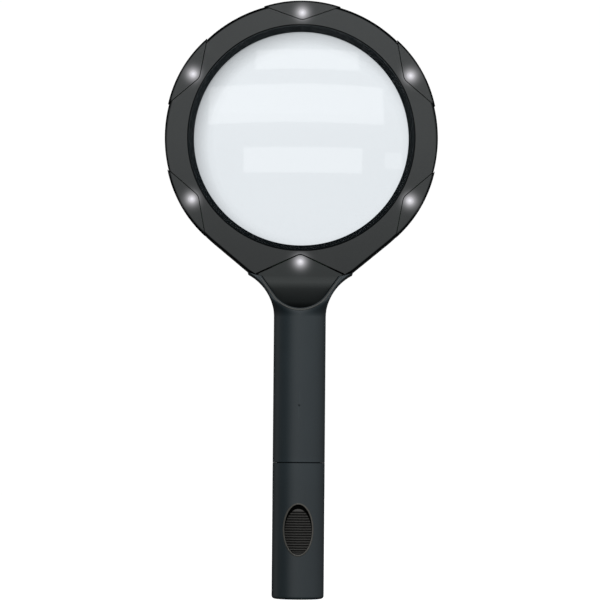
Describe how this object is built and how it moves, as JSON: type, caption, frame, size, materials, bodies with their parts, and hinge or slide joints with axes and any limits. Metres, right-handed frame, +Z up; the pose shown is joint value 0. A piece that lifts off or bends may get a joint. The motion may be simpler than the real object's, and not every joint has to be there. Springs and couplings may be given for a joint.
{
  "type": "low vision magnifier",
  "caption": "Round lighted hand magnifier: a biconvex lens in a dark ring with lamps around it, on a straight battery handle with a sliding oval switch and a pull-off end.",
  "frame": {"origin": "centre of the flat end of the handle's battery cap", "axes": "+Z up the handle to the lens centre; -Y is the front, with the lamps and the switch; +X is to the right seen from the front"},
  "size_m": [0.1142, 0.0255, 0.2498],
  "materials": {
    "shell": "fine satin texture, charcoal",
    "bezel": "smooth black, half gloss",
    "lens": "polished clear",
    "lamp": "clear domed, lit white",
    "gasket": "soft matt",
    "board": "solder-masked laminate",
    "chip": "matt with bright ends",
    "wire_red": "smooth insulation",
    "wire_black": "smooth insulation",
    "screw": "zinc plated",
    "spring": "nickel plated wire",
    "contact": "bright, lightly brushed",
    "cell_wrap": "printed film with no marks",
    "thumb": "matt, ribbed",
    "insulator": "matt"
  },
  "bodies": {
    "handle": {"head_front": "shell", "head_rear": "shell", "lens": "lens", "lens_bezel": "bezel", "lens_gasket": "gasket", "led_board": "board", "resistors": "chip", "wire_positive": "wire_red", "wire_negative": "wire_black", "head_screws": "screw", "grip_front": "shell", "grip_rear": "shell", "grip_screws": "screw", "positive_contact": "contact", "contact_holder": "insulator", "battery_upper": "cell_wrap", "battery_lower": "cell_wrap", "negative_strip": "contact", "led_cover_top": "shell", "led_cover_upper_right": "shell", "led_cover_lower_right": "shell", "led_cover_bottom": "shell", "led_cover_lower_left": "shell", "led_cover_upper_left": "shell", "led_top": "lamp", "led_upper_right": "lamp", "led_lower_right": "lamp", "led_bottom": "lamp", "led_lower_left": "lamp", "led_upper_left": "lamp"},
    "cap": {"battery_cap": "shell", "battery_spring": "spring", "switch_base": "insulator", "switch_contact_upper": "contact", "switch_contact_lower": "contact", "switch_screws": "screw"},
    "slider": {"switch_slider": "thumb", "switch_blade": "contact"}
  },
  "joints": [
    {"name": "cap_pull", "type": "slide", "parent": "handle", "child": "cap", "axis": [0, 0, -1], "range_m": [0, 0.06]},
    {"name": "switch_slide", "type": "slide", "parent": "cap", "child": "slider", "axis": [0, 0, 1], "range_m": [0, 0.0015]}
  ]
}
